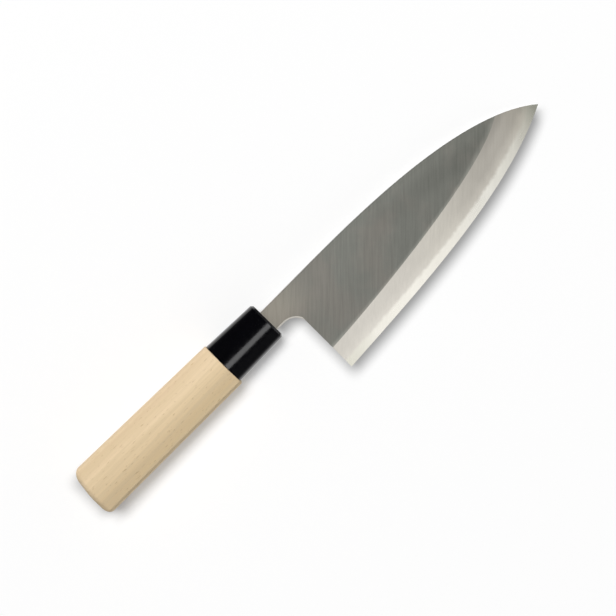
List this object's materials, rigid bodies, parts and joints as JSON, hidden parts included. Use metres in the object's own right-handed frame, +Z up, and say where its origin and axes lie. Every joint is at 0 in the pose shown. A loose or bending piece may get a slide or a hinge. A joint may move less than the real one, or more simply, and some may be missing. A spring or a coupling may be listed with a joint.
{
  "type": "deba knife",
  "caption": "Heavy single-bevel kitchen knife for fish: welded blade with a hollow back, tang driven into a pale wooden grip with a rounded crown and a black collar.",
  "frame": {"origin": "on the board that the knife lies on, under the middle of its bounding box", "axes": "+X from the butt of the grip to the tip, +Y from the cutting edge to the spine, +Z up from the board, out of the bevelled face"},
  "size_m": [0.302, 0.0628, 0.0247],
  "materials": {
    "soft_iron": "satin, fine grinding lines",
    "hard_steel": "fine polish",
    "black_collar": "gloss",
    "pale_wood": "bare, sanded smooth"
  },
  "bodies": {
    "root": {"blade_body": "soft_iron", "edge_steel": "hard_steel", "ferrule": "black_collar", "handle": "pale_wood"}
  },
  "joints": []
}
